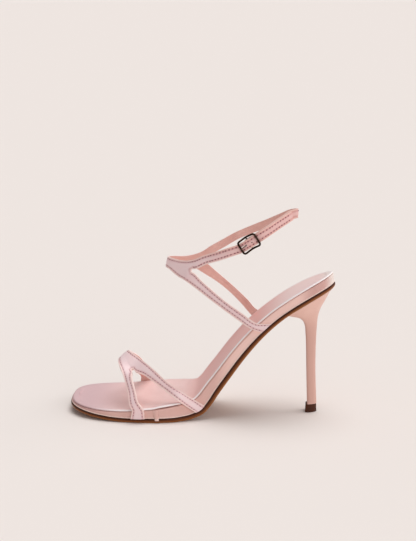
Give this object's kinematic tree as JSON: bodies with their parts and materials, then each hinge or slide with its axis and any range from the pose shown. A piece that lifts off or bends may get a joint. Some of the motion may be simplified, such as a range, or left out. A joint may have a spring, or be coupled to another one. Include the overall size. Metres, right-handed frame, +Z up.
{
  "type": "strappy high-heeled sandal",
  "caption": "Left high-heeled sandal with a forked vamp strap, a buckled ankle strap harness, a satin-wrapped insole platform and a slim stiletto heel.",
  "frame": {"origin": "on the floor under the ball of the foot, on the flat tread of the outsole", "axes": "+X from the toe towards the heel, -Y on the outer side of the foot where the buckle is, +Z up from the floor"},
  "size_m": [0.205, 0.0802, 0.1606],
  "materials": {
    "outsole": "smooth brown sole leather",
    "insole_board": "satin-wrapped board",
    "insole_sock": "soft satin sock lining",
    "heel": "satin-covered moulded heel",
    "heel_tip": "hard dark top piece",
    "vamp_strap": "folded satin strap with a leather lining",
    "ankle_harness": "folded satin strap with a leather lining",
    "buckle_frame": "dark polished metal",
    "buckle_prong": "dark polished metal"
  },
  "bodies": {
    "root": {"outsole": "outsole", "insole_board": "insole_board", "insole_sock": "insole_sock", "heel": "heel", "heel_tip": "heel_tip", "vamp_strap": "vamp_strap", "ankle_harness": "ankle_harness", "buckle_frame": "buckle_frame", "buckle_prong": "buckle_prong"}
  },
  "joints": []
}
